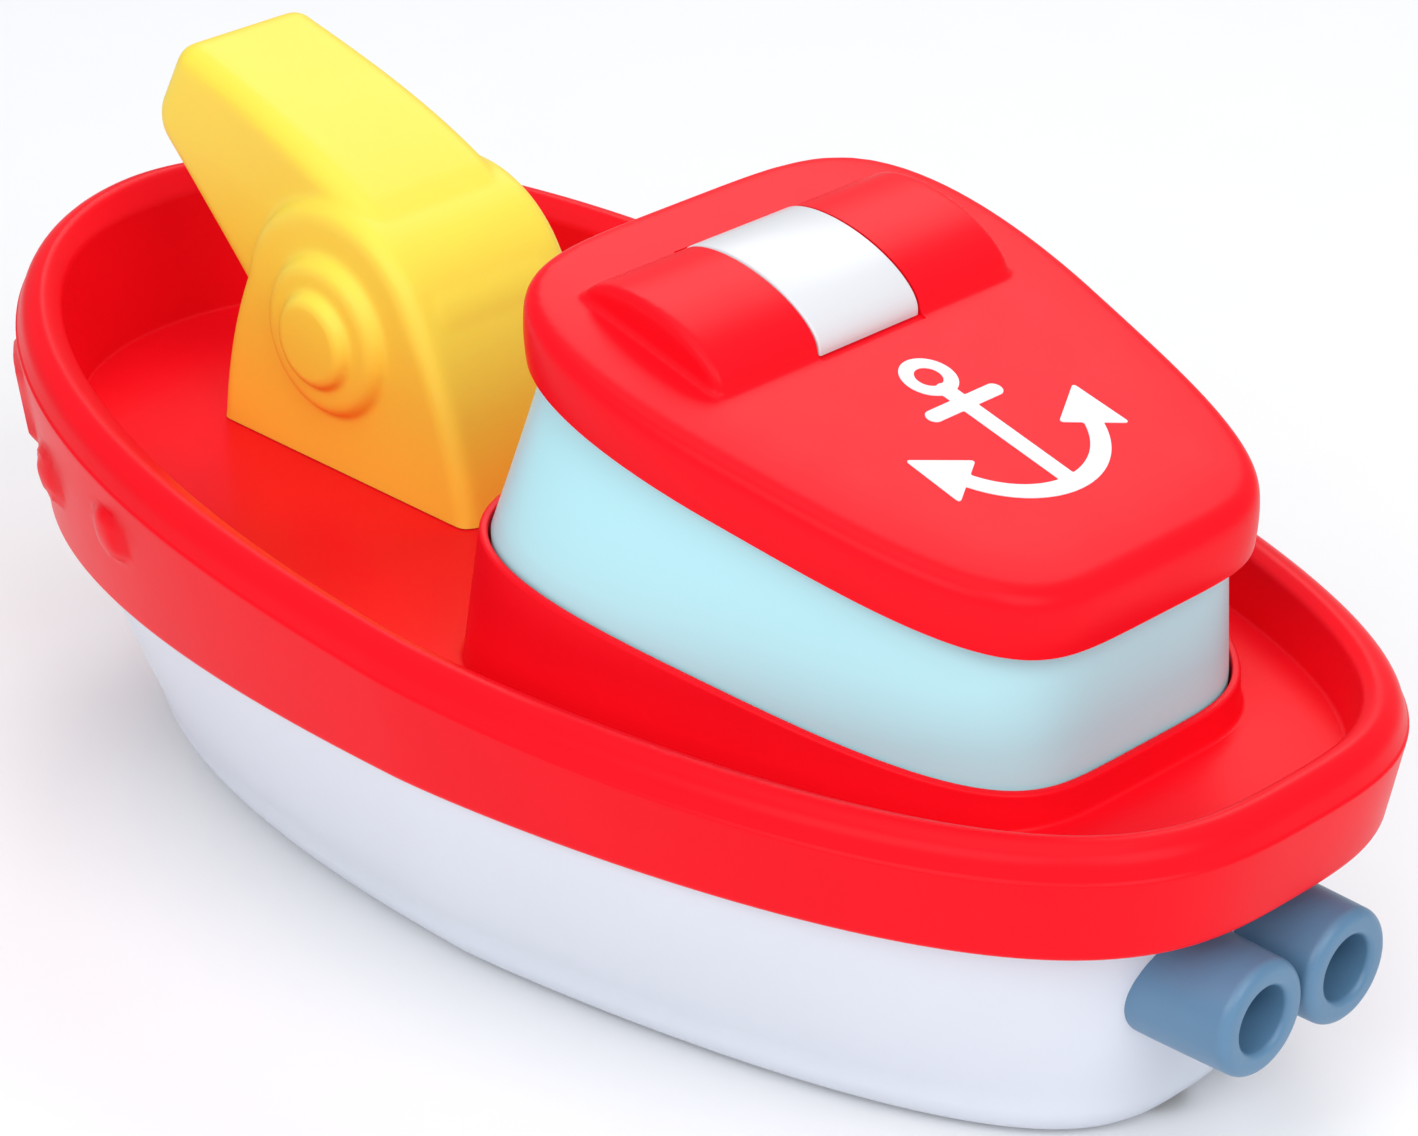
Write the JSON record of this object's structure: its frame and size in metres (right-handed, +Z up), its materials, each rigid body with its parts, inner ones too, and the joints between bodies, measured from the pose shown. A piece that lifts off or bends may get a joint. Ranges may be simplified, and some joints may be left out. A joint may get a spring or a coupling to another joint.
{
  "type": "toy boat",
  "caption": "Toddler's bath fireboat with a flared hull, a rolled bulwark, a press-down cabin that works a water pump, and a squirting cannon that turns on the foredeck.",
  "frame": {"origin": "on the flat bottom of the hull, at the middle of the boat's length and beam", "axes": "+X towards the bow, +Y to port, +Z up; the boat stands on z = 0"},
  "size_m": [0.2208, 0.1172, 0.0965],
  "materials": {
    "hull_white": "smooth gloss, cool white",
    "hull_red": "smooth gloss, bright red",
    "cannon_yellow": "satin gloss, warm yellow",
    "window_blue": "smooth, milky translucent pale blue",
    "light_white": "smooth gloss white",
    "pipe_slate": "satin slate blue",
    "inner_white": "satin off-white",
    "seal_rubber": "matte black",
    "hose_clear": "smooth milky grey",
    "steel": "bright zinc-plated"
  },
  "bodies": {
    "hull": {"lower_hull": "hull_white", "upper_hull": "hull_red", "stern_pipe_port": "pipe_slate", "stern_pipe_starboard": "pipe_slate", "pump_cylinder": "inner_white", "cylinder_cap": "inner_white", "return_spring": "steel", "inlet_valve": "seal_rubber", "inlet_strainer": "pipe_slate", "valve_body": "inner_white", "valve_duckbill": "seal_rubber", "outlet_hose": "hose_clear", "ballast_plate": "steel", "swivel_cup": "inner_white", "hull_screw_1": "steel", "hull_screw_2": "steel", "hull_screw_3": "steel", "hull_screw_4": "steel", "hull_screw_5": "steel", "pump_screw_1": "steel", "pump_screw_2": "steel", "pump_screw_3": "steel"},
    "cabin": {"cabin_window": "window_blue", "cabin_roof": "hull_red", "roof_light": "light_white", "cabin_base_frame": "inner_white", "pump_piston": "inner_white", "piston_seal": "seal_rubber", "plunger_rod": "steel", "cabin_screw_1": "steel", "cabin_screw_2": "steel", "cabin_screw_3": "steel", "cabin_screw_4": "steel"},
    "cannon": {"cannon_body": "cannon_yellow", "cannon_base": "cannon_yellow", "cannon_nozzle": "pipe_slate", "nozzle_hose": "hose_clear", "spindle_seal": "seal_rubber", "spindle_clip": "steel", "cannon_screw_1": "steel", "cannon_screw_2": "steel"}
  },
  "joints": [
    {"name": "cabin_press", "type": "slide", "parent": "hull", "child": "cabin", "axis": [0, 0, -1], "range_m": [0, 0.009], "stiffness_N_per_m": 250, "springref_m": -0.008, "deforming": ["return_spring"]},
    {"name": "cannon_swivel", "type": "hinge", "parent": "hull", "child": "cannon", "pos_m": [0.0487, 0, 0.0446], "axis": [0, 0, 1], "continuous": true}
  ]
}
